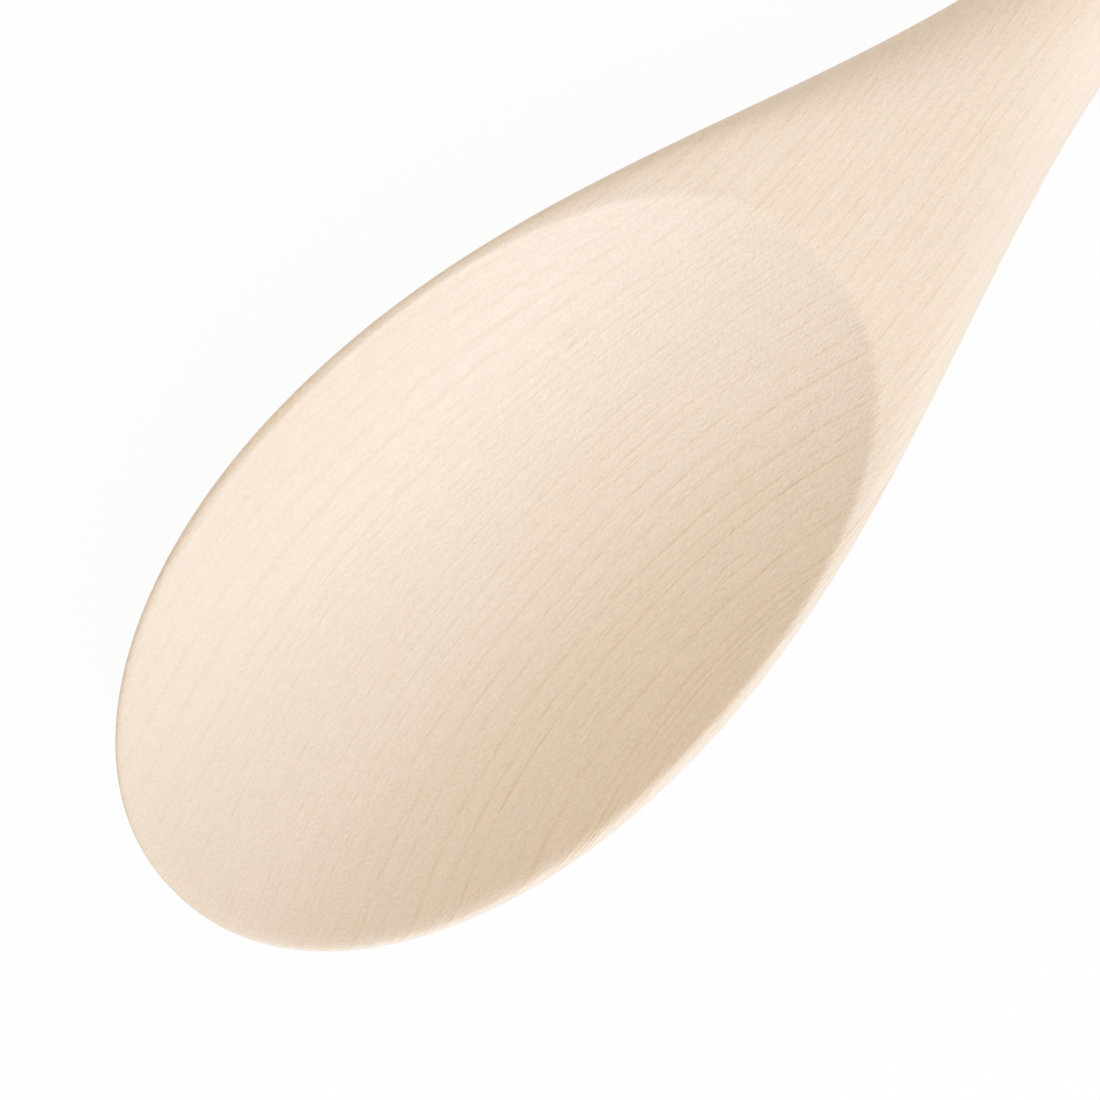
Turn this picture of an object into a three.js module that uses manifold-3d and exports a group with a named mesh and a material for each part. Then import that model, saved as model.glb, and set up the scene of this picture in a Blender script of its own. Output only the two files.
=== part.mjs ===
// A wooden cooking spoon, carved in one piece: an egg-shaped bowl with a dished hollow, a neck that
// turns from a flat-topped section into a round one, and a round handle.
//
// Millimetres, +Z up. The spoon is drawn with x along it from the tip of the bowl, y across it and z up
// from the handle's centre line. It is then laid down the way it rests on a table, on the back of the
// bowl and the end of the handle, with the origin under the middle of its length.

import * as THREE from 'three';
import { toCreasedNormals } from 'three/addons/utils/BufferGeometryUtils.js';
import Module from 'manifold-3d';

// Plan: the outline seen from above.
const OVERALL_LENGTH = 300;
const BOWL_WIDTH = 60;
const TIP_TO_WIDEST = 48.8;
const NECK_RUN = 112; // from the widest place of the bowl to the start of the round handle
const OUTLINE_FULLNESS = 2.1; // 2 draws the bowl's front as a half ellipse, more makes it squarer

// Handle.
const HANDLE_DIAMETER = 12;
const HANDLE_END_DIAMETER = 13.2;
const HANDLE_END_ROUND = 3.5;

// Elevation: heights from the handle's centre line.
const RIM_ABOVE_AXIS = 10.5;
const BACK_BELOW_AXIS = 8;
const BACK_RUN = 78; // from the widest place to where the back is level with the handle's underside
const BACK_FULLNESS = 1.5; // 2 makes the bowl's back elliptical, less thins its walls toward the rim

// Rim of the bowl, and how its small round-over grows into the round neck.
const RIM_ROUND = 0.85;
const SHOULDER_LEAD = 35; // the round-over starts to grow this far before the end of the hollow
const SHOULDER_RUN = 82; // and reaches the handle's radius after this length
const NECK_FALL_LEAD = 8; // the top starts to fall to the handle this far before the hollow's end
const FLAT_TOP_RUN = 38; // behind the hollow, the neck's flat top has turned round after this length

// Hollow of the bowl.
const HOLLOW_LENGTH = 100.25;
const HOLLOW_DEPTH = 12;
const HOLLOW_RIM_AT_SIDES = 1.3; // width of the rim left beside the hollow
const HOLLOW_RIM_AT_TIP = 0.25;
const HOLLOW_FULLNESS = 2.2; // of its outline, as for the bowl
const HOLLOW_DISHING = 2.2; // 2 makes it a paraboloid, more makes its floor flatter

// Fineness of the facets.
const BOWL_STATIONS = 24;
const NECK_STATIONS = 36;
const HANDLE_STATIONS = 8;
const END_STATIONS = 6;
const STEPS_ACROSS_TOP = 20;
const STEPS_ACROSS_BACK = 20;
const HOLLOW_RINGS = 14;
const HOLLOW_SIDES = 72;
const CREASE_ANGLE = 20; // degrees: flatter edges than this are shaded smooth

// Places along the spoon that follow from the sizes above.
const HANDLE_START = TIP_TO_WIDEST + NECK_RUN;
const HANDLE_END_START = OVERALL_LENGTH - HANDLE_END_ROUND;
const HOLLOW_END = HOLLOW_RIM_AT_TIP + HOLLOW_LENGTH;
const SHOULDER_START = HOLLOW_END - SHOULDER_LEAD;

const { clamp, degToRad, lerp } = THREE.MathUtils;

/** From 0 to 1 along half a cosine wave, as x goes from start to start + run. */
function ease(x, start, run) {
  const share = clamp((x - start) / run, 0, 1);
  return (1 - Math.cos(Math.PI * share)) / 2;
}

/** From 0 at the tip to 1 at the widest place, as a superellipse does, and 1 from there on. */
function frontShare(x, fullness) {
  const ahead = Math.max(0, 1 - x / TIP_TO_WIDEST);
  return (1 - ahead ** OUTLINE_FULLNESS) ** (1 / fullness);
}

/** Height of a round-over of the given radius, at a distance in from its edge. */
function roundOver(distance, radius) {
  const short = Math.max(0, radius - distance);
  return Math.sqrt(radius ** 2 - short ** 2);
}

/** Radius of the handle, which swells a little toward its end. */
function handleRadius(x) {
  return lerp(HANDLE_DIAMETER, HANDLE_END_DIAMETER, ease(x, HANDLE_START, OVERALL_LENGTH - HANDLE_START)) / 2;
}

/** Half of the outline's width: the bowl's front, then an ease down to the handle. */
function halfWidth(x) {
  const bowl = (BOWL_WIDTH / 2) * frontShare(x, OUTLINE_FULLNESS);
  return lerp(bowl, handleRadius(x), ease(x, TIP_TO_WIDEST, NECK_RUN));
}

/** Height of the top along the middle of the spoon. */
function topHeight(x) {
  const start = HOLLOW_END - NECK_FALL_LEAD;
  return lerp(RIM_ABOVE_AXIS, handleRadius(x), ease(x, start, HANDLE_START - start));
}

/**
 * The section of the uncut blank at x. Above its widest line it is a superellipse with a flat middle
 * and rounded corners, below that line a half ellipse or a leaner curve, and it is round at the handle.
 */
function section(x) {
  const width = halfWidth(x);
  const shoulder = lerp(RIM_ROUND, handleRadius(x), ease(x, SHOULDER_START, SHOULDER_RUN));
  const widestHeight = topHeight(x) - shoulder;
  const rise = shoulder * roundOver(x, RIM_ROUND) / RIM_ROUND;
  const cornerFullness = (2 * width) / rise; // corners as round as the rise is high
  const topFullness = lerp(cornerFullness, 2, ease(x, HOLLOW_END, FLAT_TOP_RUN));

  const level = ease(x, TIP_TO_WIDEST, BACK_RUN);
  const backFullness = lerp(BACK_FULLNESS, 2, level);
  const depth = lerp(BACK_BELOW_AXIS, handleRadius(x), level);
  const drop = (widestHeight + depth) * frontShare(x, BACK_FULLNESS);

  const endRound = HANDLE_END_ROUND - roundOver(OVERALL_LENGTH - x, HANDLE_END_ROUND);
  return {
    width: width - endRound,
    widestHeight,
    rise: rise - endRound,
    topFullness,
    drop: drop - endRound,
    backFullness,
  };
}

/** Points once round the section at x, from +y over the top to -y and back underneath. */
function sectionRing(x) {
  const { width, widestHeight, rise, topFullness, drop, backFullness } = section(x);
  const ring = [];
  for (let step = 0; step < STEPS_ACROSS_TOP; step += 1) {
    const angle = (Math.PI * step) / STEPS_ACROSS_TOP;
    const across = Math.cos(angle);
    const y = width * Math.sign(across) * Math.abs(across) ** (2 / topFullness);
    ring.push(new THREE.Vector3(x, y, widestHeight + rise * Math.sin(angle)));
  }
  for (let step = 0; step < STEPS_ACROSS_BACK; step += 1) {
    const angle = (Math.PI * step) / STEPS_ACROSS_BACK;
    const down = Math.sin(angle) ** (2 / backFullness);
    ring.push(new THREE.Vector3(x, -width * Math.cos(angle), widestHeight - drop * down));
  }
  return ring;
}

/** Places of the sections: close together at the rounded tip and at the rounded end of the handle. */
function stations() {
  const places = [];
  for (let step = 1; step <= BOWL_STATIONS; step += 1) {
    places.push(TIP_TO_WIDEST * (1 - Math.cos((Math.PI / 2) * (step / BOWL_STATIONS))));
  }
  for (let step = 1; step <= NECK_STATIONS; step += 1) {
    places.push(TIP_TO_WIDEST + NECK_RUN * (step / NECK_STATIONS));
  }
  for (let step = 1; step <= HANDLE_STATIONS; step += 1) {
    places.push(lerp(HANDLE_START, HANDLE_END_START, step / HANDLE_STATIONS));
  }
  for (let step = 1; step <= END_STATIONS; step += 1) {
    places.push(HANDLE_END_START + HANDLE_END_ROUND * Math.sin((Math.PI / 2) * (step / END_STATIONS)));
  }
  return places;
}

/** One ring of the hollow: a share of its outline, at the height that its dished floor has there. */
function hollowRing(share) {
  const frontLength = TIP_TO_WIDEST - HOLLOW_RIM_AT_TIP;
  const backLength = HOLLOW_END - TIP_TO_WIDEST;
  const width = BOWL_WIDTH / 2 - HOLLOW_RIM_AT_SIDES;
  const z = RIM_ABOVE_AXIS - HOLLOW_DEPTH * (1 - share ** HOLLOW_DISHING);
  const ring = [];
  for (let side = 0; side < HOLLOW_SIDES; side += 1) {
    const angle = (2 * Math.PI * side) / HOLLOW_SIDES;
    const along = Math.cos(angle);
    const across = Math.sin(angle);
    const length = along < 0 ? frontLength : backLength;
    const x = length * Math.sign(along) * Math.abs(along) ** (2 / HOLLOW_FULLNESS);
    const y = width * Math.sign(across) * Math.abs(across) ** (2 / HOLLOW_FULLNESS);
    ring.push(new THREE.Vector3(TIP_TO_WIDEST + share * x, share * y, z));
  }
  return ring;
}

/** Closed skin from a first point, through rings of equally many points, to a last point. */
function skin(first, rings, last) {
  const count = rings[0].length;
  const points = [first, ...rings.flat(), last];
  const end = points.length - 1;
  const triangles = [];
  const at = (ring, step) => 1 + ring * count + (step % count);
  for (let step = 0; step < count; step += 1) {
    triangles.push(0, at(0, step + 1), at(0, step));
    triangles.push(end, at(rings.length - 1, step), at(rings.length - 1, step + 1));
    for (let ring = 1; ring < rings.length; ring += 1) {
      triangles.push(at(ring - 1, step), at(ring - 1, step + 1), at(ring, step + 1));
      triangles.push(at(ring - 1, step), at(ring, step + 1), at(ring, step));
    }
  }
  return new THREE.BufferGeometry().setFromPoints(points).setIndex(triangles);
}

/** The whole spoon before it is hollowed, from its tip to the flat middle of the handle's end. */
function blank() {
  const rings = stations().map(sectionRing);
  const tip = new THREE.Vector3(0, 0, RIM_ABOVE_AXIS - RIM_ROUND);
  return skin(tip, rings, new THREE.Vector3(OVERALL_LENGTH, 0, 0));
}

/** What the carver takes out: the dish, carried on above the rim so that it cuts the rim cleanly. */
function hollow() {
  const rings = [];
  for (let ring = 1; ring <= HOLLOW_RINGS + 1; ring += 1) {
    rings.push(hollowRing(ring / HOLLOW_RINGS));
  }
  const floor = new THREE.Vector3(TIP_TO_WIDEST, 0, RIM_ABOVE_AXIS - HOLLOW_DEPTH);
  const lid = new THREE.Vector3(TIP_TO_WIDEST, 0, rings.at(-1)[0].z);
  return skin(floor, rings, lid);
}

/** One closed geometry cut out of another. */
function subtract(geometry, cutter) {
  const solid = (shape) => new wasm.Manifold(new wasm.Mesh({
    numProp: 3,
    vertProperties: shape.getAttribute('position').array,
    triVerts: Uint32Array.from(shape.index.array),
  }));
  const mesh = solid(geometry).subtract(solid(cutter)).getMesh();
  const cut = new THREE.BufferGeometry();
  cut.setAttribute('position', new THREE.BufferAttribute(mesh.vertProperties, 3));
  return cut.setIndex(new THREE.BufferAttribute(mesh.triVerts, 1));
}

/** Slope of the table under the spoon: the line that its back and the end of its handle both touch. */
function restSlope() {
  const endHeight = -handleRadius(HANDLE_END_START);
  const slopes = stations().filter((x) => x < HANDLE_START).map((x) => {
    const { widestHeight, drop } = section(x);
    return (endHeight - (widestHeight - drop)) / (HANDLE_END_START - x);
  });
  return Math.max(...slopes);
}

const wasm = await Module();
wasm.setup();

const paleWood = new THREE.MeshStandardMaterial({ color: 0xefdec8, roughness: 0.6, metalness: 0 });

const carved = toCreasedNormals(subtract(blank(), hollow()), degToRad(CREASE_ANGLE));
const spoon = new THREE.Mesh(carved, paleWood);
spoon.name = 'spoon';
spoon.rotation.y = Math.atan(restSlope());

const lying = new THREE.Box3().setFromObject(spoon, true);
spoon.position.set(-(lying.min.x + lying.max.x) / 2, 0, -lying.min.z);

const part = new THREE.Group();
part.add(spoon);

export default part;
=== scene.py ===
# %% [markdown]
# # A carved wooden spoon
#
# This lesson dresses one object: a cooking spoon carved from a single piece of pale wood. The solid
# model is loaded first and stays fixed. Everything made here is in the same frame and in metres, so the
# finished surface lies exactly where the solid says.

# %% Load the solid model
import math

import bmesh
import bpy
import numpy as np
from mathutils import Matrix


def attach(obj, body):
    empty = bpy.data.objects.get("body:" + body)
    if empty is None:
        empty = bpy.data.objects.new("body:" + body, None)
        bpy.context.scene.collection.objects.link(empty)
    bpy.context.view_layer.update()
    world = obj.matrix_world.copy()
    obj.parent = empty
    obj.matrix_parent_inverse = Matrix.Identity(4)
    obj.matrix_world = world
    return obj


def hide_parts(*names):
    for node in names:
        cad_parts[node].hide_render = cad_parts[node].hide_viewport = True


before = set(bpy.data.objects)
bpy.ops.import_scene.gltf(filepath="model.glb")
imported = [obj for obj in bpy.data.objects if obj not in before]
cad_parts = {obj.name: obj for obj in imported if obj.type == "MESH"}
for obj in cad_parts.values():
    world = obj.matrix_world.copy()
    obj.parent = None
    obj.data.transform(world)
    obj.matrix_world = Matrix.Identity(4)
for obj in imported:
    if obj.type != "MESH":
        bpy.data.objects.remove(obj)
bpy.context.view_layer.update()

MM = 0.001

# %% [markdown]
# ## The spoon's sizes
#
# The solid is made of flat facets, which is enough to weigh it and to set it down, but light shows every
# facet on a smooth pale surface. So the visible spoon is worked out again from the same sizes, as curved
# surfaces on fine grids. The sizes are lengths along the spoon from the tip of the bowl, widths across
# it, and heights from the handle's centre line.

# %% Sizes of the spoon
OVERALL_LENGTH = 300 * MM
BOWL_WIDTH = 60 * MM
TIP_TO_WIDEST = 48.8 * MM
NECK_RUN = 112 * MM
OUTLINE_FULLNESS = 2.1

HANDLE_DIAMETER = 12 * MM
HANDLE_END_DIAMETER = 13.2 * MM
HANDLE_END_ROUND = 3.5 * MM

RIM_ABOVE_AXIS = 10.5 * MM
BACK_BELOW_AXIS = 8 * MM
BACK_RUN = 78 * MM
BACK_FULLNESS = 1.5

RIM_ROUND = 0.85 * MM
SHOULDER_LEAD = 35 * MM
SHOULDER_RUN = 82 * MM
NECK_FALL_LEAD = 8 * MM
FLAT_TOP_RUN = 38 * MM

HOLLOW_LENGTH = 100.25 * MM
HOLLOW_DEPTH = 12 * MM
HOLLOW_RIM_AT_SIDES = 1.3 * MM
HOLLOW_RIM_AT_TIP = 0.25 * MM
HOLLOW_FULLNESS = 2.2
HOLLOW_DISHING = 2.2

HANDLE_START = TIP_TO_WIDEST + NECK_RUN
HOLLOW_END = HOLLOW_RIM_AT_TIP + HOLLOW_LENGTH
print("round handle from", round(HANDLE_START / MM, 1), "mm, hollow to", round(HOLLOW_END / MM, 1), "mm")

# %% [markdown]
# ## Curves along the spoon
#
# A carver draws two curves on the blank, the outline from above and the profile from the side, and cuts
# to them. Here each curve is a formula. Half a cosine wave joins two sizes without a kink, and a
# superellipse draws the front of the bowl: it is an ellipse whose power is a little over two, which
# makes it slightly squarer. Formulas keep the surface smooth however fine the grid is.

# %% Curves along the spoon
TINY = 1e-9


def ease(x, start, run):
    """Half a cosine wave: 0 before start, 1 after start + run."""
    share = np.clip((x - start) / run, 0, 1)
    return (1 - np.cos(np.pi * share)) / 2


def between(low, high, share):
    """The value that lies a share of the way from low to high."""
    return low + (high - low) * share


def front_share(x, fullness):
    """A superellipse's height, (1 - ahead ^ power) ^ (1 / fullness): 0 at the tip, 1 from the widest on."""
    ahead = np.clip(1 - x / TIP_TO_WIDEST, 0, 1)
    return (1 - ahead ** OUTLINE_FULLNESS) ** (1 / fullness)


def round_over(distance, radius):
    """Height of a quarter circle in from its edge: sqrt(radius ^ 2 - (radius - distance) ^ 2)."""
    short = np.clip(radius - distance, 0, radius)
    return np.sqrt(radius ** 2 - short ** 2)


def handle_radius(x):
    """The handle's radius, which eases from its size at the neck to its size at the end."""
    swell = ease(x, HANDLE_START, OVERALL_LENGTH - HANDLE_START)
    return between(HANDLE_DIAMETER, HANDLE_END_DIAMETER, swell) / 2


def half_width(x):
    """Half the outline's width: the bowl's superellipse, then an ease down to the handle."""
    bowl = BOWL_WIDTH / 2 * front_share(x, OUTLINE_FULLNESS)
    return between(bowl, handle_radius(x), ease(x, TIP_TO_WIDEST, NECK_RUN))


def middle_height(x):
    """Height of the top along the middle line: the rim's level, then an ease down to the handle."""
    start = HOLLOW_END - NECK_FALL_LEAD
    return between(RIM_ABOVE_AXIS, handle_radius(x), ease(x, start, HANDLE_START - start))


print("widest", round(2 * float(half_width(TIP_TO_WIDEST)) / MM, 2), "mm")

# %% [markdown]
# ## Sections across the spoon
#
# Sawn across, the bowl has a flat rim with small rounded corners, the neck has a flat top with large
# rounded corners, and the handle is round. One formula gives them all. Above its widest line the
# section is a superellipse, whose power is twice its half width over its height: that makes the corners
# as round as the section is high, and a plain half circle where the two are equal. Below the widest line
# it is a half ellipse, with a smaller power under the bowl that thins its walls toward the rim.

# %% Sections across the spoon
def section(x):
    """Sizes of the section at x: half width, widest height, rise and power above, drop and power below.

    Behind the widest place of the bowl each eases to its size at the handle, and toward the tip the half
    width, the rise and the drop shrink to nothing. The rounding of the handle's end is taken off all three.
    """
    width = half_width(x)
    shoulder = between(RIM_ROUND, handle_radius(x), ease(x, HOLLOW_END - SHOULDER_LEAD, SHOULDER_RUN))
    widest = middle_height(x) - shoulder
    rise = shoulder * round_over(x, RIM_ROUND) / RIM_ROUND
    corner_power = 2 * np.maximum(width, TINY) / np.maximum(rise, TINY)
    top_power = between(corner_power, 2, ease(x, HOLLOW_END, FLAT_TOP_RUN))
    level = ease(x, TIP_TO_WIDEST, BACK_RUN)
    back_power = between(BACK_FULLNESS, 2, level)
    depth = between(BACK_BELOW_AXIS, handle_radius(x), level)
    drop = (widest + depth) * front_share(x, BACK_FULLNESS)
    end_round = HANDLE_END_ROUND - round_over(OVERALL_LENGTH - x, HANDLE_END_ROUND)
    return width - end_round, widest, rise - end_round, top_power, drop - end_round, back_power


def top_surface(x, y):
    """Height of the uncut top: widest height + rise * sqrt(1 - (|y| / half width) ^ power)."""
    width, widest, rise, power, _, _ = section(x)
    across = np.clip(np.abs(y) / np.maximum(width, TINY), 0, 1)
    return widest + rise * np.sqrt(1 - across ** power)


def back_surface(x, y):
    """Height of the underside: widest height - drop * (1 - (y / half width) ^ 2) ^ (1 / power)."""
    width, widest, _, _, drop, power = section(x)
    across = np.clip(np.abs(y) / np.maximum(width, TINY), 0, 1)
    return widest - drop * (1 - across ** 2) ** (1 / power)


print("thickness of the neck behind the hollow",
      round(float(top_surface(HOLLOW_END, 0) - back_surface(HOLLOW_END, 0)) / MM, 2), "mm")

# %% [markdown]
# ## The hollow and its edge
#
# The hollow is a dish, deepest in its middle, and its outline is a superellipse too. Where the dish
# meets the flat top of the blank there is a crisp line, which sanding leaves very slightly soft. Two
# heights meet in such a line when the lower one is taken everywhere, and a smooth minimum softens it:
# where the two heights differ by less than a small amount, it eases from one to the other. Round the tip
# the edge is softer, and the dish is a hair shallower, so that the rim keeps its height there.

# %% The hollow and its edge
HOLLOW_FRONT = TIP_TO_WIDEST - HOLLOW_RIM_AT_TIP
HOLLOW_BACK = HOLLOW_END - TIP_TO_WIDEST
HOLLOW_HALF_WIDTH = BOWL_WIDTH / 2 - HOLLOW_RIM_AT_SIDES
EDGE_SOFTNESS = 0.35 * MM
TIP_SOFTNESS = 0.9 * MM
TIP_DISH_RAISE = 0.32 * MM
SOFT_TIP_LENGTH = 20 * MM
SOFT_TIP_FADE = 30 * MM


def hollow_surface(x, y):
    """Height of the dish: rim - depth * (1 - s ^ dishing), with s the share of the hollow's outline."""
    along = x - TIP_TO_WIDEST
    length = np.where(along < 0, HOLLOW_FRONT, HOLLOW_BACK)
    share = (np.abs(along / length) ** HOLLOW_FULLNESS
             + np.abs(y / HOLLOW_HALF_WIDTH) ** HOLLOW_FULLNESS) ** (1 / HOLLOW_FULLNESS)
    return RIM_ABOVE_AXIS - HOLLOW_DEPTH * (1 - share ** HOLLOW_DISHING)


def soft_minimum(first, second, softness):
    """The lower height - near ^ 2 * softness / 4: near is 1 where the two cross, 0 one softness apart."""
    near = np.clip(1 - np.abs(first - second) / softness, 0, 1)
    return np.minimum(first, second) - near ** 2 * softness / 4


def carved_top(x, y):
    """Height of the finished top: the blank's top where the hollow doesn't reach, and else the dish."""
    behind_tip = ease(x, SOFT_TIP_LENGTH, SOFT_TIP_FADE)
    dish = hollow_surface(x, y) + between(TIP_DISH_RAISE, 0, behind_tip)
    return soft_minimum(top_surface(x, y), dish, between(TIP_SOFTNESS, EDGE_SOFTNESS, behind_tip))


print("wall under the deepest place",
      round(float(carved_top(TIP_TO_WIDEST, 0) - back_surface(TIP_TO_WIDEST, 0)) / MM, 2), "mm")

# %% [markdown]
# ## Rows that follow the rim
#
# A grid shows a crisp line well only if its own lines run along it. So the bowl's grid is made of loops
# round the hollow: some inside it, one on its edge, and some from there out to the outline. On the neck
# the loops end on one section, the neck ring, where the handle's grid takes over. First come the three
# curves that the loops hang on. Only the half with y above 0 is worked out, from the tip round to the
# middle of the neck ring, and its mirror image completes each loop.

# %% Curves that the loops hang on
NECK_RING = 105 * MM
FRONT_STEPS = 60
SHOULDER_STEPS = 60
QUARTER_STEPS = 32
SHOULDER_ANGLE = math.radians(35)

front = np.linspace(0, np.pi / 2, FRONT_STEPS + 1)
behind = np.linspace(0, 1, SHOULDER_STEPS + 1)[1:]
quarter = np.linspace(0, np.pi / 2, QUARTER_STEPS + 1)

outline_x = np.concatenate([
    TIP_TO_WIDEST * (1 - np.cos(front) ** (2 / OUTLINE_FULLNESS)),
    between(TIP_TO_WIDEST, NECK_RING, behind)])
outline_x[0] = 0
ring_y = half_width(NECK_RING) * np.cos(quarter[1:])
ring_y[-1] = 0
outer_loop = np.stack([np.concatenate([outline_x, np.full(QUARTER_STEPS, NECK_RING)]),
                       np.concatenate([half_width(outline_x), ring_y])], axis=-1)


def hollow_outline(angle):
    """The superellipse where the dish would reach the rim, by cosine and sine to the power 2 / fullness."""
    along, across = np.cos(angle), np.sin(angle)
    length = np.where(along < 0, HOLLOW_FRONT, HOLLOW_BACK)
    x = TIP_TO_WIDEST + length * np.sign(along) * np.abs(along) ** (2 / HOLLOW_FULLNESS)
    y = HOLLOW_HALF_WIDTH * np.abs(across) ** (2 / HOLLOW_FULLNESS)
    return np.stack([x, y], axis=-1)


# The angles run from pi at the tip to 0 in the middle of the neck.
edge_angles = np.concatenate([
    np.pi - front,
    between(np.pi / 2, SHOULDER_ANGLE, behind),
    SHOULDER_ANGLE * (1 - quarter[1:] / (np.pi / 2))])
hollow_loop = hollow_outline(edge_angles)
centre = np.array([TIP_TO_WIDEST, 0])
print(len(outer_loop), "points on each half loop")

# %% [markdown]
# ## Finding the hollow's edge
#
# The dish crosses the blank's top a little inside its own outline, because the rim is already rounding
# over there. On each line from the middle of the hollow the crossing is found by halving: the dish is
# below the top at the inner end and above it at the outer end, and the middle tells which half to keep.
# All the lines are halved at once.

# %% Find the hollow's edge
HALVINGS = 40
SEARCH_START = 0.8

inner_share = np.full(len(hollow_loop), SEARCH_START)
outer_share = np.ones(len(hollow_loop))
for _ in range(HALVINGS):
    share = (inner_share + outer_share) / 2
    x, y = (centre + (hollow_loop - centre) * share[:, None]).T
    below = hollow_surface(x, y) < top_surface(x, y)
    inner_share = np.where(below, share, inner_share)
    outer_share = np.where(below, outer_share, share)

edge_loop = centre + (hollow_loop - centre) * inner_share[:, None]
edge_loop[[0, -1], 1] = 0
rim_gap = np.linalg.norm(outer_loop - edge_loop, axis=1)
tip_gap, side_gap = rim_gap[[0, FRONT_STEPS]] / MM
print("rim", round(tip_gap, 2), "mm wide at the tip,", round(side_gap, 2), "mm at the side")

# %% [markdown]
# ## The bowl's two grids
#
# The top grid starts at the middle of the hollow, crosses its edge and ends on the outline. The back
# grid covers the underside in the same way. Rows are spaced by sines, so that they crowd where the
# surface turns fast: at the hollow's edge, and at the outline where the surface stands upright.

# %% The bowl's two grids
HOLLOW_ROWS = 46
RIM_ROWS = 24
BACK_ROWS = 46


def whole_loop(half):
    """A half loop followed by its mirror image, without repeating the two points on the middle line."""
    mirrored = half[-2:0:-1] * np.array([1, -1])
    return np.concatenate([half, mirrored])


def rows_between(start, end, shares):
    """Rows of points that lie the given shares of the way from one loop to another."""
    return start[None] + (end - start)[None] * shares[:, None, None]


def raised(plan, height):
    """Points in the plan, lifted to the height of a surface there."""
    x, y = plan[..., 0], plan[..., 1]
    return np.stack([x, y, height(x, y)], axis=-1)


hollow_shares = np.sin(np.linspace(0, np.pi / 2, HOLLOW_ROWS + 1))
rim_shares = np.sin(np.linspace(0, np.pi / 2, RIM_ROWS + 1))[1:] ** 2
back_shares = np.sin(np.linspace(0, np.pi / 2, BACK_ROWS + 1))

edge, outer = whole_loop(edge_loop), whole_loop(outer_loop)
middle = np.broadcast_to(centre, edge.shape)
top_plan = np.concatenate([rows_between(middle, edge, hollow_shares), rows_between(edge, outer, rim_shares)])
top_grid = raised(top_plan, carved_top)
back_grid = raised(rows_between(middle, outer, back_shares), back_surface)
print("top grid", top_grid.shape[:2], "back grid", back_grid.shape[:2])

# %% [markdown]
# ## The handle's grid
#
# From the neck ring on, the spoon is a tube of sections. The handle's end is cut square and its edge is
# rounded over, so the last rows first follow the quarter circle of that edge and then shrink to the
# middle of the flat end.

# %% The handle's grid
NECK_ROWS = 40
HANDLE_ROWS = 60
END_ROWS = 14
END_FLAT_ROWS = 6


def section_ring(x, angle):
    """Points round the sections at x: y = half width * cos, and z on the top or on the underside there."""
    width, widest, rise, top_power, drop, back_power = section(x)
    across, up = np.abs(np.cos(angle)), np.sin(angle)
    lift = np.where(up >= 0, rise * np.sqrt(1 - across ** top_power), -drop * np.abs(up) ** (2 / back_power))
    y = width * np.cos(angle)
    return np.stack([np.broadcast_to(x, y.shape), y, widest + lift], axis=-1)


round_start = OVERALL_LENGTH - HANDLE_END_ROUND
places = np.concatenate([
    np.linspace(NECK_RING, HANDLE_START, NECK_ROWS + 1),
    np.linspace(HANDLE_START, round_start, HANDLE_ROWS + 1)[1:],
    round_start + HANDLE_END_ROUND * np.sin(np.linspace(0, np.pi / 2, END_ROWS + 1))[1:]])
turn = np.linspace(0, 2 * np.pi, 4 * QUARTER_STEPS, endpoint=False)
tube = section_ring(places[:, None], turn[None, :])
end_shrink = np.ones((END_FLAT_ROWS, 1, 3))
end_shrink[:, 0, 1:] = np.linspace(1, 0, END_FLAT_ROWS + 1)[1:, None]
handle_grid = np.concatenate([tube, tube[-1] * end_shrink])
print("handle grid", handle_grid.shape[:2])

# %% [markdown]
# ## Laying the spoon down
#
# So far the spoon is drawn level, as if held by its handle. On a table it lies on the back of the bowl
# and on the end of the handle, which tips it by a fraction of a degree. Of all the lines from the handle's
# end to a point of the back, the table is the steepest, because every other point then lies above it.

# %% Lay the spoon down
BACK_SAMPLES = 2000


def laid_down(points, slope):
    """Points turned about the y axis, so that a line of the given slope becomes level."""
    angle = math.atan(slope)
    cos, sin = math.cos(angle), math.sin(angle)
    x, y, z = np.moveaxis(points, -1, 0)
    return np.stack([x * cos + z * sin, y, -x * sin + z * cos], axis=-1)


along_bowl = np.linspace(0, HANDLE_START, BACK_SAMPLES)
end_height = -handle_radius(round_start)
rest_slope = np.max((end_height - back_surface(along_bowl, 0)) / (round_start - along_bowl))
grids = [laid_down(grid, rest_slope) for grid in (top_grid, back_grid, handle_grid)]
every_point = np.concatenate([grid.reshape(-1, 3) for grid in grids])
lowest, highest = every_point.min(axis=0), every_point.max(axis=0)
shift = np.array([-(lowest[0] + highest[0]) / 2, 0, -lowest[2]])
grids = [grid + shift for grid in grids]
tip_angle = math.degrees(math.atan(rest_slope))
print("tipped by", round(tip_angle, 3), "degrees, moved by", np.round(shift / MM, 2), "mm")

# %% [markdown]
# ## One closed mesh
#
# The three grids share their edges point for point: the outline, and the upper and lower half of the
# neck ring. Merging the doubled points closes the skin, and turns the rows that shrank to a point into
# triangles. Then the faces are turned outwards, and counting open edges proves that nothing is left.

# %% One closed mesh
MERGE_DISTANCE = 0.002 * MM
CM = 10 * MM


def grid_faces(rows, columns, first):
    """Corner numbers of the squares of a grid whose columns close on themselves."""
    row = np.arange(rows - 1)[:, None]
    column = np.arange(columns)[None, :]
    following = (column + 1) % columns
    corners = [row * columns + column, row * columns + following,
               (row + 1) * columns + following, (row + 1) * columns + column]
    return first + np.stack(corners, axis=-1).reshape(-1, 4)


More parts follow.
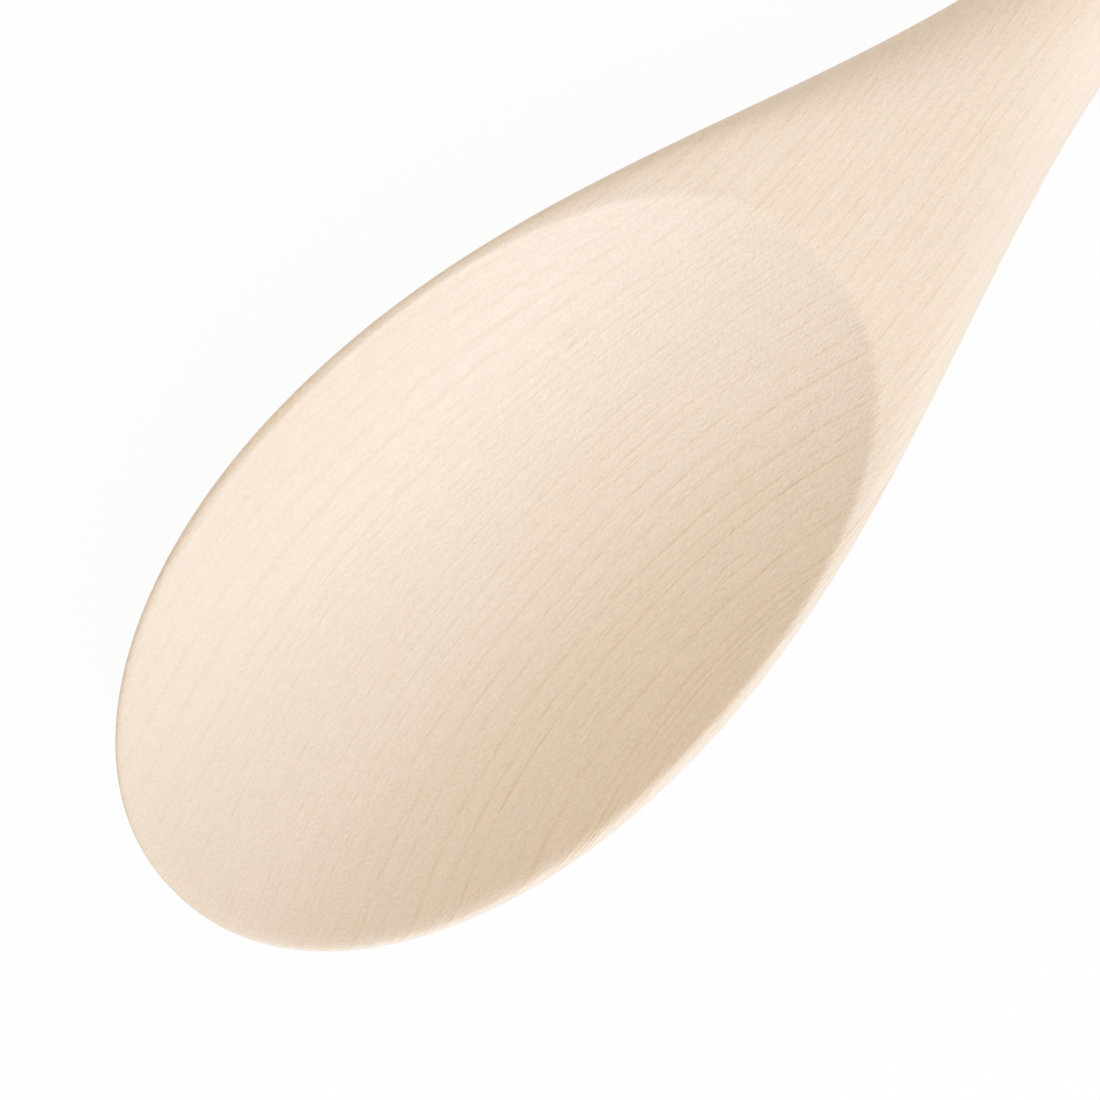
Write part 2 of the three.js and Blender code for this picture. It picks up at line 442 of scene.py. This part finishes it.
def closed_mesh(name, surfaces):
    """A mesh of several grids, with doubled points merged and faces turned outwards."""
    counts = [grid.shape[0] * grid.shape[1] for grid in surfaces]
    firsts = np.concatenate([[0], np.cumsum(counts)[:-1]])
    points = np.concatenate([grid.reshape(-1, 3) for grid in surfaces])
    faces = np.concatenate([grid_faces(*grid.shape[:2], first) for grid, first in zip(surfaces, firsts)])
    mesh = bpy.data.meshes.new(name)
    mesh.from_pydata(points, [], faces.tolist())
    work = bmesh.new()
    work.from_mesh(mesh)
    bmesh.ops.remove_doubles(work, verts=work.verts, dist=MERGE_DISTANCE)
    bmesh.ops.recalc_face_normals(work, faces=work.faces)
    open_edges = sum(not edge.is_manifold for edge in work.edges)
    print(name, len(work.verts), "points,", len(work.faces), "faces,", open_edges, "open edges,",
          round(work.calc_volume(signed=True) / CM ** 3, 2), "cubic cm")
    work.to_mesh(mesh)
    work.free()
    mesh.shade_smooth()
    return mesh


spoon = bpy.data.objects.new("carved_spoon", closed_mesh("carved_spoon", grids))
bpy.context.scene.collection.objects.link(spoon)
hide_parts("spoon")
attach(spoon, "root")

# %% [markdown]
# ## Growth rings through the wood
#
# The spoon was cut out of a plank, so its pattern runs right through it: the same growth rings show in the
# hollow, on the rim and on the neck, bent only by where the surface cuts them. A flat pattern laid over the
# surface couldn't do that. So a formula gives each point's depth across the rings. In this plank the rings
# lie at a slant, lean a little to one side along it, and bulge on one side of the bowl. The formula is in
# millimetres from the rim's level over the widest place of the bowl.

# %% Depth across the growth rings
RING_SLANT = 0.733
RING_LEAN = -0.085
RING_CURVE = -0.0024
BULGE_START = 0.5
BULGE_RUN = 24.4
BULGE_END = 46.3
BULGE_SOFTNESS = 11
BULGE_HEIGHT = 1.24
BULGE_SLOPE = 0.1124
BULGE_CURVE = 0.00335


def ring_depth(x, y, z):
    """Depth across the rings: y + slant * z + lean * x + curve * y ^ 2 + a bulge on the +y side."""
    along = soft_minimum(x, BULGE_END, BULGE_SOFTNESS)
    bulge = BULGE_HEIGHT + BULGE_SLOPE * along + BULGE_CURVE * along ** 2
    return y + RING_SLANT * z + RING_LEAN * x + RING_CURVE * y ** 2 + bulge * ease(y, BULGE_START, BULGE_RUN)


points = np.empty(3 * len(spoon.data.vertices))
spoon.data.vertices.foreach_get("co", points)
level_points = laid_down(points.reshape(-1, 3) - shift, -rest_slope)
plank_x, plank_y, plank_z = ((level_points - np.array([TIP_TO_WIDEST, 0, RIM_ABOVE_AXIS])) / MM).T
depth = ring_depth(plank_x, plank_y, plank_z)
print("depth across the rings from", round(depth.min(), 1), "to", round(depth.max(), 1), "mm")

# %% [markdown]
# ## Counting the rings
#
# A tree grows more in some years than in others, so no two rings are equally wide or end in an equally bold
# line. A list of widths turns depth into a count of rings, which is whole at each line, and a second list
# says how bold the lines are in the bowl. Toward the tip they fade, and on the neck they are all alike.
# The rings that show only on the back repeat a few widths.

# %% Counting the rings
HIDDEN_RINGS = 13
HIDDEN_WIDTHS = (2.1, 2.6, 1.9, 2.4)
HIDDEN_BOLDNESS = 0.5
FIRST_SHOWN_RING = -30.8
SHOWN_WIDTHS = (
    0.5, 0.6, 0.3, 0.3, 0.3, 2.2, 1.1, 0.7, 0.9, 1.0, 1.2, 1.6,
    2.5, 1.6, 2.2, 2.4, 1.0, 1.6, 2.0, 1.3, 1.3, 1.4, 3.0, 1.2,
    1.2, 1.9, 1.2, 1.4, 2.3, 4.8, 3.6, 3.5, 2.4, 3.3, 3.1, 3.8)
SHOWN_BOLDNESS = (
    0.60, 0.80, 0.80, 0.90, 0.90, 1.10, 1.10, 0.45, 0.50, 0.35, 1.48, 0.92,
    1.02, 0.50, 1.14, 0.80, 0.58, 0.54, 0.57, 0.50, 0.50, 0.30, 0.62, 0.30,
    0.36, 0.50, 0.50, 0.38, 0.65, 0.60, 0.66, 0.72, 0.45, 0.38, 0.40, 0.42)
TIP_BOLDNESS = 0.6
TIP_FADE = (-45, 35)
NECK_BOLDNESS = 0.52
NECK_FADE = (28, 30)
SMOOTHING_REACH = 0.5
SMOOTHING_STEPS = 11
HALF_RING = 0.5

hidden = np.resize(HIDDEN_WIDTHS, HIDDEN_RINGS)
widths = np.concatenate([hidden, SHOWN_WIDTHS])
lines = FIRST_SHOWN_RING - hidden.sum() + np.concatenate([[0], np.cumsum(widths)])


def ring_count(depth):
    """How many rings lie below a depth, averaged over a short stretch so that widths change gradually."""
    steps = np.linspace(-SMOOTHING_REACH, SMOOTHING_REACH, SMOOTHING_STEPS)
    counts = [np.interp(depth + step, lines, np.arange(len(lines))) for step in steps]
    return np.mean(counts, axis=0)


def width_at(count):
    """Width of the rings at a count: each ring's own in its middle, changing evenly from middle to middle."""
    return np.interp(count, np.arange(len(widths)) + HALF_RING, widths)


def ring_boldness(count, x):
    """Each ring's listed boldness times a fade toward the tip, and on the neck one boldness for all."""
    shown = count - HIDDEN_RINGS
    listed = np.interp(shown, np.arange(len(SHOWN_BOLDNESS)), SHOWN_BOLDNESS, left=HIDDEN_BOLDNESS)
    in_bowl = listed * between(TIP_BOLDNESS, 1, ease(x, *TIP_FADE))
    return between(in_bowl, NECK_BOLDNESS, ease(x, *NECK_FADE))


count = ring_count(depth)
print("rings from", round(count.min(), 1), "to", round(count.max(), 1), "of", len(widths))

# %% [markdown]
# ## How the surface cuts the fibres
#
# The fibres run along the spoon. Where the surface lies along them it is smooth. On the walls at the two
# ends of the hollow it cuts across them, and there the wood looks a little paler. A blade that runs up
# against the fibres also lifts them, so the wall toward the neck is rougher than the wall at the tip. The
# fine marks are also made stronger on walls that face away from the lamp. That part is painted shade: it
# stands in for low light picking out the relief. The surface's normal tells how much of this a point gets.
# These numbers and those of the rings are kept on the points of the mesh as attributes, because a material
# can read attributes.

# %% How the surface cuts the fibres
FUZZ_ALONG = -0.50
PAINTED_SHADE_SIDE = 0.36

normals = np.empty(3 * len(spoon.data.vertices))
spoon.data.vertices.foreach_get("normal", normals)
normal_x, normal_y, _ = normals.reshape(-1, 3).T


def store(name, values):
    """Keeps one number for each point of the spoon, under a name that the material can read."""
    spoon.data.attributes.new(name, "FLOAT", "POINT").data.foreach_set("value", values)


store("depth", depth)
store("rings", count)
store("ring_width", width_at(count))
store("boldness", ring_boldness(count, plank_x))
# The normal_y term is painted shade: the marks grow stronger on walls that face away from the lamp.
store("fuzz_and_painted_shade", 1 + FUZZ_ALONG * normal_x + PAINTED_SHADE_SIDE * normal_y)
store("cut_across", np.abs(normal_x))
print("kept on the points:", sorted(attribute.name for attribute in spoon.data.attributes))

# %% [markdown]
# ## Small helpers for nodes
#
# A material is a tree of nodes. A few short functions add a node, join it to what comes before and return its
# output, so that the rest reads like a list of steps.

# %% Small helpers for nodes
pale_wood = bpy.data.materials.new("pale_wood")
pale_wood.use_nodes = True
tree = pale_wood.node_tree
tree.nodes.clear()


def add(kind, **settings):
    """A new node of the wood, with its own settings."""
    made = tree.nodes.new(kind)
    for name, value in settings.items():
        setattr(made, name, value)
    return made


def feed(socket, value):
    """Joins a node's output to a socket, or sets a number or colour there."""
    if isinstance(value, bpy.types.NodeSocket):
        tree.links.new(value, socket)
    else:
        socket.default_value = value


def stored(name):
    """A number that was kept for each point of the spoon."""
    return add("ShaderNodeAttribute", attribute_name=name).outputs["Fac"]


print("helpers ready for", pale_wood.name)

# %% [markdown]
# ## Grain space and layer space
#
# The fine marks come from noise. In grain space, the Object coordinates in millimetres are turned so that x
# runs along the fibres and y across the growth rings. Noise that is stretched along x makes fibres there,
# and because it fills space, the ends of the hollow cut them across by themselves. In layer space, y is the
# depth across the rings, so streaks follow the curve of the rings wherever the surface cuts them.

# %% Grain space and layer space
place = add("ShaderNodeTexCoord").outputs["Object"]
turned = add("ShaderNodeMapping")
feed(turned.inputs["Vector"], place)
turned.inputs["Rotation"].default_value = (-math.atan(RING_SLANT), 0, math.atan(RING_LEAN))
turned.inputs["Scale"].default_value = (1 / MM, 1 / MM, 1 / MM)
grain = turned.outputs["Vector"]

fibre_place = add("ShaderNodeSeparateXYZ")
feed(fibre_place.inputs["Vector"], grain)
in_layers = add("ShaderNodeCombineXYZ")
feed(in_layers.inputs["X"], fibre_place.outputs["X"])
feed(in_layers.inputs["Y"], stored("depth"))
layers = in_layers.outputs["Vector"]


def vector_node(operation, first, second):
    """The result of a sum on two vectors."""
    made = add("ShaderNodeVectorMath", operation=operation)
    feed(made.inputs[0], first)
    feed(made.inputs[1], second)
    return made.outputs["Vector"]


def streaks(size, detail=2.0, roughness=0.5, space=grain):
    """Noise from 0 to 1 in stretched blobs, whose size is given along and across the fibres in mm."""
    along, across = size
    noise = add("ShaderNodeTexNoise")
    feed(noise.inputs["Vector"], vector_node("MULTIPLY", space, (1 / along, 1 / across, 1 / across)))
    noise.inputs["Scale"].default_value = 1
    noise.inputs["Detail"].default_value = detail
    noise.inputs["Roughness"].default_value = roughness
    return noise.outputs["Fac"]


print("grain turned by", round(math.degrees(math.atan(RING_SLANT)), 1), "degrees")

# %% [markdown]
# ## Ring lines
#
# Each year's growth ends in a thin dark line inside a soft yellowish band. Both lie where the count of rings
# passes a whole number: a ping-pong of the count is 0 there, and times the ring's width it is the distance
# from the line. Wide rings have broader lines, and so has one side of the plank. Noise makes the line waver
# and fade along the spoon, and breaks it up finely, because it is a row of cut fibres and no drawn stroke.

# %% Ring lines
NOISE_MIDDLE = 0.5
WAVER = 0.09
WAVER_SIZE = (14, 2.5)
RAGGED = 0.05
RAGGED_SIZE = (0.9, 0.5)
LINE_REACH = 0.06
LINE_GROWTH = 0.12
BROADER = (0, 9, 1, 1.35)
BAND_REACH = 3.6
FADING_SIZE = (16, 1.4)
FADING = (0.32, 0.62, 0.45, 1.0)
BREAK_SIZE = (1.4, 0.25)
BREAKS = (0.3, 0.65, 0.5, 1.1)


def math_node(operation, *values):
    """The result of a sum on numbers or outputs."""
    made = add("ShaderNodeMath", operation=operation)
    for socket, value in zip(made.inputs, values):
        feed(socket, value)
    return made.outputs["Value"]


def remap(value, from_low, from_high, to_low, to_high):
    """A value carried smoothly from one range to another, held at its ends."""
    made = add("ShaderNodeMapRange", interpolation_type="SMOOTHSTEP")
    for socket, setting in zip(made.inputs, (value, from_low, from_high, to_low, to_high)):
        feed(socket, setting)
    return made.outputs["Result"]


def swing(amount, size):
    """Noise that swings between minus and plus an amount."""
    around_zero = math_node("SUBTRACT", streaks(size, detail=1), NOISE_MIDDLE)
    return math_node("MULTIPLY", around_zero, amount / NOISE_MIDDLE)


swings = math_node("ADD", swing(WAVER, WAVER_SIZE), swing(RAGGED, RAGGED_SIZE))
years = math_node("ADD", stored("rings"), swings)
ring_width = stored("ring_width")
from_line = math_node("MULTIPLY", math_node("PINGPONG", years, HALF_RING), ring_width)
reach = math_node("MULTIPLY_ADD", ring_width, LINE_GROWTH, LINE_REACH)
reach = math_node("MULTIPLY", reach, remap(stored("depth"), *BROADER))
reaches = math_node("DIVIDE", from_line, reach)

strength = math_node("MULTIPLY", stored("boldness"), remap(streaks(FADING_SIZE), *FADING))
unbroken = remap(streaks(BREAK_SIZE, space=layers), *BREAKS)
ring_lines = math_node("MULTIPLY", remap(reaches, 0, 1, 1, 0), math_node("MULTIPLY", strength, unbroken))
ring_bands = math_node("MULTIPLY", remap(reaches, 0, BAND_REACH, 1, 0), strength)
print(len(tree.nodes), "nodes up to the ring lines")

# %% [markdown]
# ## Fibres and pores
#
# Close up, pale wood is a bundle of fine tubes. Cut lengthwise they show as short dark dashes. Silky streaks
# and a fine speckle of cut fibre ends lie between them, a mottle varies the tint from fibre to fibre, and
# broad soft clouds vary it along the plank.

# %% Fibres and pores
PORE_SIZE = (4.2, 0.22)
PORES = (0.55, 0.72, 0, 1)
SILK_SIZE = (3.6, 0.42)
SPECKLE_SIZE = (0.60, 0.34)
SPECKLE_DETAIL = 1.5
SPECKLE_ROUGHNESS = 0.65
MOTTLE_SIZE = (1.6, 0.8)
CLOUD_SIZE = (38, 9)

# Pores and speckle are scaled by the stored value, which paints shade as stronger marks and more dark pores
# on walls facing away from the lamp.
pores = math_node("MULTIPLY", remap(streaks(PORE_SIZE, detail=1, space=layers), *PORES), stored("fuzz_and_painted_shade"))
silk = streaks(SILK_SIZE, space=layers)
speckle = math_node("SUBTRACT", streaks(SPECKLE_SIZE, SPECKLE_DETAIL, SPECKLE_ROUGHNESS), NOISE_MIDDLE)
speckle = math_node("MULTIPLY", speckle, stored("fuzz_and_painted_shade"))
mottle = streaks(MOTTLE_SIZE, detail=1)
clouds = streaks(CLOUD_SIZE)
print(len(tree.nodes), "nodes up to the pores")

# %% [markdown]
# ## The wood's own colour
#
# The wood is nearly as pale as paper. Its tint wanders between a warm and a rosy one: a share from 0 to 1
# says how much of the second lies over the first. On the neck a factor makes the surface a little lighter,
# and this fades out again along the handle. Where the fibres are cut across, a paler tint is laid over it. A
# Mix node has sockets for several kinds of value under the same names, so those for colours are picked by
# number.

# %% The wood's own colour
WARM_WOOD = (0.828, 0.693, 0.541, 1)
ROSY_WOOD = (0.821, 0.706, 0.577, 1)
MOTTLE_SHARE = 0.8
TINT_MIDDLE = 0.4
TINT = (0.2, 0.8, 0, 1)
NECK_GAIN = 0.056
NECK_START = (-64 * MM, -46 * MM, 0, NECK_GAIN)
NECK_END = (-10 * MM, 50 * MM, 1, 0)
CUT_WOOD = (0.832, 0.712, 0.586, 1)
CUT_TINT = (0.05, 0.45, 0, 1)
UNDER_SOCKET, OVER_SOCKET, MIXED_SOCKET = 6, 7, 2


def mixed(share, under, over):
    """Two colours mixed by a share from 0, all under, to 1, all over."""
    made = add("ShaderNodeMix", data_type="RGBA", blend_type="MIX")
    feed(made.inputs["Factor"], share)
    feed(made.inputs[UNDER_SOCKET], under)
    feed(made.inputs[OVER_SOCKET], over)
    return made.outputs[MIXED_SOCKET]


def shaded(colour, amount):
    """A colour made lighter or darker by a factor near 1."""
    made = add("ShaderNodeVectorMath", operation="SCALE")
    feed(made.inputs[0], colour)
    feed(made.inputs["Scale"], amount)
    return made.outputs["Vector"]


along_spoon = add("ShaderNodeSeparateXYZ")
feed(along_spoon.inputs["Vector"], place)
tint = math_node("MULTIPLY_ADD", mottle, MOTTLE_SHARE, math_node("SUBTRACT", clouds, TINT_MIDDLE))
colour = mixed(remap(tint, *TINT), WARM_WOOD, ROSY_WOOD)
# Lighter on the neck by a factor, which eases in behind the hollow and fades out again along the handle.
on_neck = [remap(along_spoon.outputs["X"], *span) for span in (NECK_START, NECK_END)]
colour = shaded(colour, math_node("MULTIPLY_ADD", *on_neck, 1))
colour = mixed(remap(stored("cut_across"), *CUT_TINT), colour, CUT_WOOD)
print(len(tree.nodes), "nodes up to the wood's own colour")

# %% [markdown]
# ## Marks over the colour
#
# Every mark on so pale a wood is faint, so each has a small share: the bands, the lines in them, the silk
# and speckle that only lighten or darken, and the pores. One brown fleck, smaller than a grain of rice,
# lies near the rim of the bowl: it is a small ellipsoid in the wood, which the surface cuts.

# %% Marks over the colour
RING_BAND = (0.878, 0.688, 0.432, 1)
BAND_SHARE = 0.29
RING_LINE = (0.730, 0.602, 0.480, 1)
LINE_SHARE = 0.55
SILK_SHADE = (0.25, 0.75, 0.984, 1.012)
SPECKLE_SHADE = 0.18
PORE = (0.690, 0.560, 0.425, 1)
PORE_SHARE = 0.10
FLECK = (0.610, 0.400, 0.200, 1)
FLECK_PLACE = (-113.9 * MM, 25.6 * MM, 16.3 * MM)
FLECK_HALF_SIZE = (0.75 * MM, 0.30 * MM, 0.60 * MM)
FLECK_SHARE = (0.35, 1.0, 0.5, 0)

colour = mixed(math_node("MULTIPLY", ring_bands, BAND_SHARE), colour, RING_BAND)
colour = mixed(math_node("MULTIPLY", ring_lines, LINE_SHARE), colour, RING_LINE)
colour = shaded(colour, remap(silk, *SILK_SHADE))
colour = shaded(colour, math_node("MULTIPLY_ADD", speckle, SPECKLE_SHADE, 1))
colour = mixed(math_node("MULTIPLY", pores, PORE_SHARE), colour, PORE)

from_fleck = vector_node("DIVIDE", vector_node("SUBTRACT", place, FLECK_PLACE), FLECK_HALF_SIZE)
radius = add("ShaderNodeVectorMath", operation="LENGTH")
feed(radius.inputs[0], from_fleck)
colour = mixed(remap(radius.outputs["Value"], *FLECK_SHARE), colour, FLECK)
print(len(tree.nodes), "nodes up to the marks")

# %% [markdown]
# ## Relief and finish
#
# Fine sanding leaves bare wood matt, with a faint satin where it is smoothest. The cut fibres can still be
# felt as tiny ridges, a few hundredths of a millimetre high, which give the surface its soft, fibrous look
# where light grazes it. The growth lines are harder than the wood between them, so they stand a hair proud.
# All this is far too fine to model, so a bump turns its height into shading, and a little sheen stands for
# the fuzz of fibre ends.

# %% Relief and finish
RELIEF = 0.035 * MM
BAND_RELIEF = 0.6
PORE_RELIEF = 0.3
SPECKLE_RELIEF = 2.2
ROUGHNESS = (0.2, 0.8, 0.55, 0.46)
SHEEN = 0.15
SHEEN_ROUGHNESS = 0.3

relief = math_node("MULTIPLY_ADD", ring_bands, BAND_RELIEF, ring_lines)
relief = math_node("MULTIPLY_ADD", pores, PORE_RELIEF, relief)
relief = math_node("MULTIPLY_ADD", speckle, SPECKLE_RELIEF, relief)
bump = add("ShaderNodeBump")
bump.inputs["Strength"].default_value = 1
bump.inputs["Distance"].default_value = RELIEF
feed(bump.inputs["Height"], relief)

surface = add("ShaderNodeBsdfPrincipled")
feed(surface.inputs["Base Color"], colour)
feed(surface.inputs["Roughness"], remap(silk, *ROUGHNESS))
feed(surface.inputs["Normal"], bump.outputs["Normal"])
surface.inputs["Sheen Weight"].default_value = SHEEN
surface.inputs["Sheen Roughness"].default_value = SHEEN_ROUGHNESS
output = add("ShaderNodeOutputMaterial")
feed(output.inputs["Surface"], surface.outputs["BSDF"])
spoon.data.materials.append(pale_wood)
print("pale_wood has", len(tree.nodes), "nodes")

# %% [markdown]
# ## Floor
#
# The spoon lies on a plain white table. One large square does for it, wide enough that its edges stay out of
# every picture. It is no part of the spoon.

# %% Floor
FLOOR_SIZE = 6.0

corner = FLOOR_SIZE / 2
corners = [(-corner, -corner, 0), (corner, -corner, 0), (corner, corner, 0), (-corner, corner, 0)]
floor_mesh = bpy.data.meshes.new("floor")
floor_mesh.from_pydata(corners, [], [(0, 1, 2, 3)])
floor = bpy.data.objects.new("floor", floor_mesh)
bpy.context.scene.collection.objects.link(floor)
print("floor", FLOOR_SIZE, "m across")

# %% [markdown]
# ## The floor's white
#
# A plain white floor would look grey where less light falls on it. So the camera is shown mostly an even
# white, and the rest is the floor's own shading, which keeps the spoon's soft shadow. Light Path tells the
# floor what looks at it: only what looks straight at it sees the even white, and the light that the floor
# throws back on the spoon stays real.

# %% The floor's white
FLOOR_WHITE = (0.85, 0.85, 0.85, 1)
WHITE = (1, 1, 1, 1)
SHADOW_SHARE = 0.05


def seen_directly(nodes, links):
    """1 where the camera, a reflection or a clear material looks straight at it, and else 0."""
    path = nodes.new("ShaderNodeLightPath")
    total = path.outputs["Is Camera Ray"]
    for name in ("Is Glossy Ray", "Is Transmission Ray"):
        both = nodes.new("ShaderNodeMath")
        both.operation = "MAXIMUM"
        links.new(total, both.inputs[0])
        links.new(path.outputs[name], both.inputs[1])
        total = both.outputs["Value"]
    return total


white_floor = bpy.data.materials.new("white_floor")
white_floor.use_nodes = True
nodes, links = white_floor.node_tree.nodes, white_floor.node_tree.links
nodes.clear()
matt = nodes.new("ShaderNodeBsdfDiffuse")
matt.inputs["Color"].default_value = FLOOR_WHITE
even = nodes.new("ShaderNodeEmission")
even.inputs["Color"].default_value = WHITE
even_share = nodes.new("ShaderNodeMath")
even_share.operation = "MULTIPLY"
even_share.inputs[1].default_value = 1 - SHADOW_SHARE
links.new(seen_directly(nodes, links), even_share.inputs[0])
blend = nodes.new("ShaderNodeMixShader")
links.new(even_share.outputs["Value"], blend.inputs["Fac"])
links.new(matt.outputs["BSDF"], blend.inputs[1])
links.new(even.outputs["Emission"], blend.inputs[2])
links.new(blend.outputs["Shader"], nodes.new("ShaderNodeOutputMaterial").inputs["Surface"])
floor.data.materials.append(white_floor)
print("shadow shown at a share of", SHADOW_SHARE)

# %% [markdown]
# ## Surroundings
#
# Light walls round the table fill the shadows. They throw back a slightly warm light, as painted walls do,
# and what looks straight at them sees plain white.

# %% Surroundings
ROOM_LIGHT = (1.0, 0.917, 0.820, 1)
ROOM_STRENGTH = 0.795

world = bpy.data.worlds.new("white_room")
bpy.context.scene.world = world
world.use_nodes = True
nodes, links = world.node_tree.nodes, world.node_tree.links
nodes.clear()
room = nodes.new("ShaderNodeBackground")
room.inputs["Color"].default_value = ROOM_LIGHT
room.inputs["Strength"].default_value = ROOM_STRENGTH
backdrop = nodes.new("ShaderNodeBackground")
backdrop.inputs["Color"].default_value = WHITE
backdrop.inputs["Strength"].default_value = 1
either = nodes.new("ShaderNodeMixShader")
links.new(seen_directly(nodes, links), either.inputs["Fac"])
links.new(room.outputs["Background"], either.inputs[1])
links.new(backdrop.outputs["Background"], either.inputs[2])
links.new(either.outputs["Shader"], nodes.new("ShaderNodeOutputWorld").inputs["Surface"])
print("room light", ROOM_LIGHT[:3], "at", ROOM_STRENGTH)

# %% [markdown]
# ## Light
#
# The photograph is lit softly from one side: the wall of the hollow that faces that side is bright, and the
# wall with its back to it is tan. One large soft lamp beside the spoon does that, turned a little toward the
# tip of the bowl. Its light is cooler than the room's, like daylight, and on a level surface the two add up
# to white.

# %% Light
LAMP_SIZE = 0.9
LAMP_DISTANCE = 1.3
LAMP_HEIGHT_ANGLE = math.radians(40)
LAMP_TURN = math.radians(9)
LAMP_COLOUR = (0.618, 0.757, 1.0)
LAMP_POWER = 11.05

lamp_data = bpy.data.lights.new("soft_lamp", "AREA")
lamp_data.shape = "DISK"
lamp_data.size = LAMP_SIZE
lamp_data.energy = LAMP_POWER
lamp_data.color = LAMP_COLOUR
lamp = bpy.data.objects.new("soft_lamp", lamp_data)
bowl_middle = laid_down(np.array([TIP_TO_WIDEST, 0, RIM_ABOVE_AXIS]), rest_slope) + shift
level_part = math.cos(LAMP_HEIGHT_ANGLE)
toward_lamp = np.array([
    -level_part * math.sin(LAMP_TURN),
    -level_part * math.cos(LAMP_TURN),
    math.sin(LAMP_HEIGHT_ANGLE)])
lamp.location = bowl_middle + LAMP_DISTANCE * toward_lamp
lamp.rotation_euler = (math.pi / 2 - LAMP_HEIGHT_ANGLE, 0, -LAMP_TURN)
bpy.context.scene.collection.objects.link(lamp)
print("lamp at", [round(value, 2) for value in lamp.location])

# %% [markdown]
# ## Camera
#
# The camera looks straight down on the bowl, turned so that the handle leaves the picture at its upper
# right corner. It stands far off with a long lens, as for a product picture, so that near and far parts
# keep their sizes. Lens and sensor are in millimetres here, as on a real camera.

# %% Camera
LENS = 150
SENSOR = 36
NEAREST = 10 * MM
PICTURE_WIDTH = 121.9 * MM
PICTURE_CENTRE = np.array([56.2 * MM, -2.32 * MM, RIM_ABOVE_AXIS - RIM_ROUND])
HANDLE_ANGLE = math.radians(44.5)

camera_data = bpy.data.cameras.new("camera")
camera_data.lens = LENS
camera_data.sensor_width = SENSOR
camera_data.clip_start = NEAREST
camera = bpy.data.objects.new("camera", camera_data)
target = laid_down(PICTURE_CENTRE, rest_slope) + shift
camera.location = target + np.array([0, 0, PICTURE_WIDTH * LENS / SENSOR])
camera.rotation_euler = (0, 0, -HANDLE_ANGLE)
bpy.context.scene.collection.objects.link(camera)
bpy.context.scene.camera = camera
bpy.context.scene.view_settings.view_transform = "Standard"
print("camera", round(camera.location.z, 3), "m above the floor")
